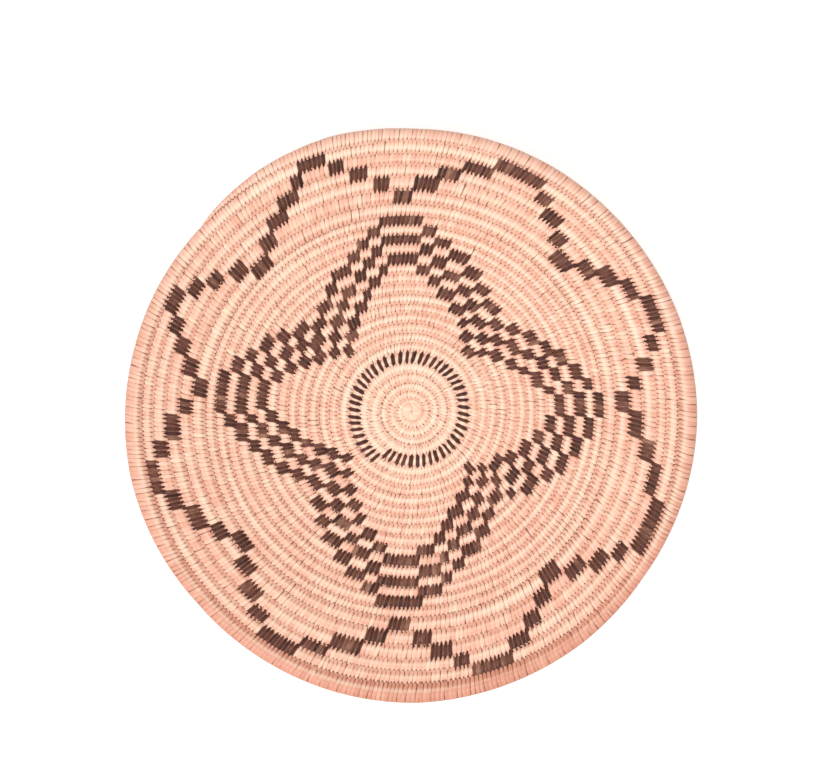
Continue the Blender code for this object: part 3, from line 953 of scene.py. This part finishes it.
strand_lower = wall_point(strand_angle, strand_radius, -strand_bottom)
strand_points = np.concatenate([strand_upper, strand_lower[:, ::-1]], axis=1)
print("strand height in the middle (mm):", round(strand_top.max() / MM, 2))

# %% Swirl the first strands
STRAND_TONE, STRAND_TONE_SPREAD = 0.4, 0.2
# The strands' polish sets the painted highlight on their crests.
STRAND_POLISH_SHEEN, STRAND_ACROSS = 0.4, 0.3
STRAND_FIBRE_STEP, STRAND_FIBRE_SIDE, STRAND_FIBRE_SHUFFLE = 0.5, 2.0, 50.0

strand_shape = strand_points.shape[:3]
strand_along = np.arange(strand_shape[1])[None, :, None] * STRAND_FIBRE_STEP
strand_fibre = [strand_along, STRAND_FIBRE_SIDE * CORNER_SIDES[None, None, :],
                STRAND_FIBRE_SHUFFLE * strand_turns]
strand_tones = STRAND_TONE + STRAND_TONE_SPREAD * strand_rng.standard_normal(STRANDS)
strand_values = {
    "tone": np.broadcast_to(strand_tones[:, None, None], strand_shape).ravel(),
    "polish_and_sheen": np.full(np.prod(strand_shape), STRAND_POLISH_SHEEN),
    "across": np.full(np.prod(strand_shape), STRAND_ACROSS),
    "side": np.broadcast_to(CORNER_SIDES, strand_shape).ravel(),
    "fibre": np.stack(np.broadcast_arrays(*strand_fibre), axis=-1).reshape(-1, 3),
}
knot = mesh_object("start_knot_splints", strand_points, ring_faces(*strand_shape), strand_values)
knot.data.materials.append(centre_splint)
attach(knot, "root")
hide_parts("start_knot")

# %% Knot under the strands
# The profile is pairs of a radius in mm and a share of the knot's half height.
CORE_SIDES = 24
CORE_PROFILE = np.array([[0.05, 0.95], [2.6, 0.9], [5.2, 0.7], [5.2, -0.7], [2.6, -0.9], [0.05, -0.5]])
core_angle = -np.arange(CORE_SIDES)[:, None] / CORE_SIDES
core_radius = CORE_PROFILE[:, 0] * MM
core_lift = CORE_PROFILE[:, 1] * (knot_half_height - KNOT_LIFT)
core_points = wall_point(core_angle, core_radius, core_lift)
core = mesh_object("start_knot_core", core_points, ring_faces(1, *core_points.shape[:2]), {})
# The knot's core takes the same dark finish, painted shade under the strands.
core.data.materials.append(foundation_shade_material)
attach(core, "root")

# %% [markdown]
# Floor, light and camera. The tray lies on a plain white floor with its hollow up. The sky
# lights it evenly, one large soft lamp above its front left gives the stitches their small
# shadows, and the camera looks down on it from far off, about five degrees off its axis.

# %% Floor
FLOOR_SIDE = 8.0
PAPER_COLOUR, PAPER_ROUGHNESS, PAPER_GLOW = "F4F4F4", 0.9, 0.55
WHITE = (1.0, 1.0, 1.0, 1.0)

floor_mesh = bpy.data.meshes.new("floor")
half_side = FLOOR_SIDE / 2.0
floor_mesh.from_pydata([(-half_side, -half_side, 0.0), (half_side, -half_side, 0.0),
                        (half_side, half_side, 0.0), (-half_side, half_side, 0.0)], [], [(0, 1, 2, 3)])
floor = bpy.data.objects.new("floor", floor_mesh)
bpy.context.scene.collection.objects.link(floor)
floor_material = bpy.data.materials.new("white_paper_floor")
floor_material.use_nodes = True
paper = floor_material.node_tree
paper_shader = paper.nodes["Principled BSDF"]
paper_shader.inputs["Base Color"].default_value = linear(PAPER_COLOUR)
paper_shader.inputs["Roughness"].default_value = PAPER_ROUGHNESS
paper_path = add_node(paper, "ShaderNodeLightPath", {}, {})
paper_glow = add_node(paper, "ShaderNodeMath", {"operation": "MULTIPLY"}, {
    0: paper_path.outputs["Is Camera Ray"], 1: PAPER_GLOW})
paper_shader.inputs["Emission Color"].default_value = WHITE
paper.links.new(paper_glow.outputs["Value"], paper_shader.inputs["Emission Strength"])
floor_mesh.materials.append(floor_material)
print("floor is", FLOOR_SIDE, "m wide")

# %% Light
SKY_LEVEL, SEEN_SKY_LEVEL = 0.7, 1.0
LAMP_PLACE, LAMP_SIZE, LAMP_WATTS = (-0.6, -0.6, 2.35), 1.2, 31.0

world = bpy.data.worlds.new("studio")
world.use_nodes = True
bpy.context.scene.world = world
sky = world.node_tree
sky_path = add_node(sky, "ShaderNodeLightPath", {}, {})
sky_level = add_node(sky, "ShaderNodeMapRange", {}, {
    "Value": sky_path.outputs["Is Camera Ray"], "To Min": SKY_LEVEL, "To Max": SEEN_SKY_LEVEL})
sky.links.new(sky_level.outputs["Result"], sky.nodes["Background"].inputs["Strength"])
sky.nodes["Background"].inputs["Color"].default_value = WHITE


def softbox(name, place, target, size, watts):
    """A square area light that faces a point."""
    lamp = bpy.data.lights.new(name, "AREA")
    lamp.size = size
    lamp.energy = watts
    holder = bpy.data.objects.new(name, lamp)
    bpy.context.scene.collection.objects.link(holder)
    aim = np.array(place) - np.array(target)
    holder.location = place
    holder.rotation_euler = (math.acos(aim[2] / np.linalg.norm(aim)), 0.0,
                             math.atan2(aim[1], aim[0]) + math.pi / 2.0)
    return holder


front_light = softbox("front_light", LAMP_PLACE, ORIGIN, LAMP_SIZE, LAMP_WATTS)
print("lamp leans (degrees):", round(math.degrees(front_light.rotation_euler.x), 1))

# %% Camera
CAMERA_DISTANCE = 5.0
CAMERA_CLIP = 50.0
FRAME_PIXELS = (813, 768)
SENSOR_MM = 36.0

right = (FRAME_PIXELS[0] / 2.0 - BASE_PIXEL[0]) * PIXEL
up = (BASE_PIXEL[1] - FRAME_PIXELS[1] / 2.0) * PIXEL / math.cos(CAMERA_TILT)
aim_point = ORIGIN + np.array([right, up, 0.0])
view_direction = np.array([0.0, math.sin(CAMERA_TILT), math.cos(CAMERA_TILT)])
camera_data = bpy.data.cameras.new("camera")
camera_data.sensor_width = SENSOR_MM
camera_data.lens = SENSOR_MM * (CAMERA_DISTANCE - DISH_DEPTH / 2.0) / (FRAME_PIXELS[0] * PIXEL)
camera_data.clip_end = CAMERA_CLIP
camera = bpy.data.objects.new("camera", camera_data)
bpy.context.scene.collection.objects.link(camera)
camera.location = aim_point + CAMERA_DISTANCE * view_direction
camera.rotation_euler = (-CAMERA_TILT, 0.0, 0.0)
bpy.context.scene.camera = camera
bpy.context.scene.view_settings.view_transform = "Standard"
print("lens (mm):", round(camera_data.lens, 1))
